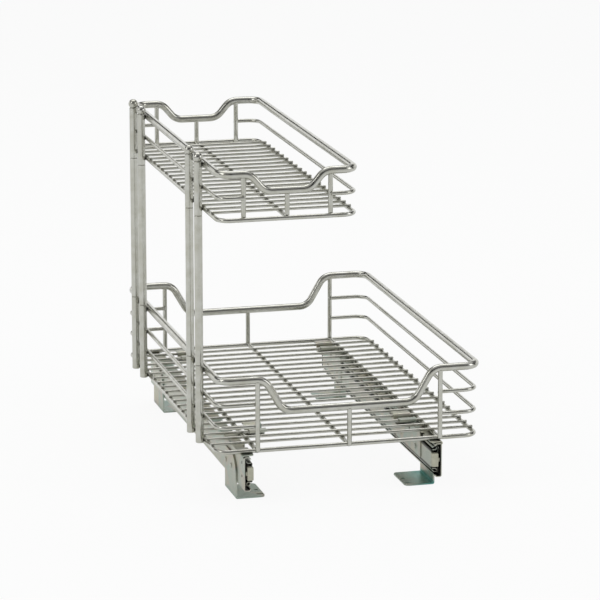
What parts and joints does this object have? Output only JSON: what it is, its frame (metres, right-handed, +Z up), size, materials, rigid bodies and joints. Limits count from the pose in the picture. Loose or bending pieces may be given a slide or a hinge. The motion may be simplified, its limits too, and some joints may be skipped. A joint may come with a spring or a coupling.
{
  "type": "pull-out cabinet basket",
  "caption": "Two-tier chrome wire basket on full-extension ball-bearing slides, with a narrow upper basket on side posts, screwed to a cabinet floor by bracket feet.",
  "frame": {"origin": "centre of the four foot screw holes, on the cabinet floor that the feet stand on", "axes": "+X to the right seen from the front, +Y to the back of the cabinet, +Z up; the basket pulls out along -Y"},
  "size_m": [0.3681, 0.5645, 0.4525],
  "materials": {
    "chrome_wire": "polished chrome plate",
    "chrome_tube": "polished chrome plate",
    "chrome_post": "polished chrome plate",
    "slide_zinc": "zinc plated, rolled",
    "bracket_zinc": "zinc plated, iridescent passivation",
    "cage_steel": "plain steel",
    "ball_steel": "ground and greased",
    "fastener_zinc": "bright zinc",
    "bumper_nylon": "moulded, satin",
    "bumper_rubber": "matt"
  },
  "bodies": {
    "slide_base": {"outer_member_left": "slide_zinc", "outer_member_right": "slide_zinc", "rear_bumper_left": "bumper_rubber", "rear_bumper_right": "bumper_rubber", "foot_front_left": "bracket_zinc", "foot_front_right": "bracket_zinc", "foot_back_left": "bracket_zinc", "foot_back_right": "bracket_zinc", "foot_rivets": "fastener_zinc"},
    "basket": {"lower_frame_wire": "chrome_wire", "lower_crosswires": "chrome_wire", "lower_support_wires": "chrome_wire", "lower_uprights": "chrome_wire", "lower_side_wires_left": "chrome_wire", "lower_side_wires_right": "chrome_wire", "lower_top_rail": "chrome_tube", "lower_post_sockets": "chrome_post", "upper_frame_wire": "chrome_wire", "upper_crosswires": "chrome_wire", "upper_support_wire": "chrome_wire", "upper_uprights": "chrome_wire", "upper_side_wire_left": "chrome_wire", "upper_side_wire_right": "chrome_wire", "upper_top_rail": "chrome_tube", "upper_post_stubs": "chrome_post", "post_tube_1": "chrome_post", "post_tube_2": "chrome_post", "post_tube_3": "chrome_post", "post_tube_4": "chrome_post", "post_finials": "chrome_post", "carrier_left": "bracket_zinc", "carrier_right": "bracket_zinc", "carrier_rivets": "fastener_zinc", "wire_clip_front_left": "bracket_zinc", "wire_clip_front_right": "bracket_zinc", "wire_clip_back_left": "bracket_zinc", "wire_clip_back_right": "bracket_zinc", "clip_screws": "fastener_zinc", "inner_member_left": "slide_zinc", "inner_member_right": "slide_zinc", "front_bumper_left": "bumper_nylon", "front_bumper_right": "bumper_nylon"},
    "middle_left": {"middle_member_left": "slide_zinc"},
    "middle_right": {"middle_member_right": "slide_zinc"},
    "outer_balls_l": {"outer_cage_left": "cage_steel", "outer_balls_left": "ball_steel"},
    "outer_balls_r": {"outer_cage_right": "cage_steel", "outer_balls_right": "ball_steel"},
    "inner_balls_l": {"inner_cage_left": "cage_steel", "inner_balls_left": "ball_steel"},
    "inner_balls_r": {"inner_cage_right": "cage_steel", "inner_balls_right": "ball_steel"}
  },
  "joints": [
    {"name": "basket_slide", "type": "slide", "parent": "slide_base", "child": "basket", "axis": [0, -1, 0], "range_m": [0, 0.5588]},
    {"name": "middle_slide_left", "type": "slide", "parent": "slide_base", "child": "middle_left", "axis": [0, -1, 0], "range_m": [0, 0.2794]},
    {"name": "middle_slide_right", "type": "slide", "parent": "slide_base", "child": "middle_right", "axis": [0, -1, 0], "range_m": [0, 0.2794]},
    {"name": "outer_cage_slide_left", "type": "slide", "parent": "slide_base", "child": "outer_balls_l", "axis": [0, -1, 0], "range_m": [0, 0.1397]},
    {"name": "outer_cage_slide_right", "type": "slide", "parent": "slide_base", "child": "outer_balls_r", "axis": [0, -1, 0], "range_m": [0, 0.1397]},
    {"name": "inner_cage_slide_left", "type": "slide", "parent": "slide_base", "child": "inner_balls_l", "axis": [0, -1, 0], "range_m": [0, 0.4191]},
    {"name": "inner_cage_slide_right", "type": "slide", "parent": "slide_base", "child": "inner_balls_r", "axis": [0, -1, 0], "range_m": [0, 0.4191]}
  ],
  "couplings": [
    {"joint": "middle_slide_left", "follows": "basket_slide", "ratio": 0.5},
    {"joint": "middle_slide_right", "follows": "basket_slide", "ratio": 0.5},
    {"joint": "outer_cage_slide_left", "follows": "basket_slide", "ratio": 0.25},
    {"joint": "outer_cage_slide_right", "follows": "basket_slide", "ratio": 0.25},
    {"joint": "inner_cage_slide_left", "follows": "basket_slide", "ratio": 0.75},
    {"joint": "inner_cage_slide_right", "follows": "basket_slide", "ratio": 0.75}
  ]
}
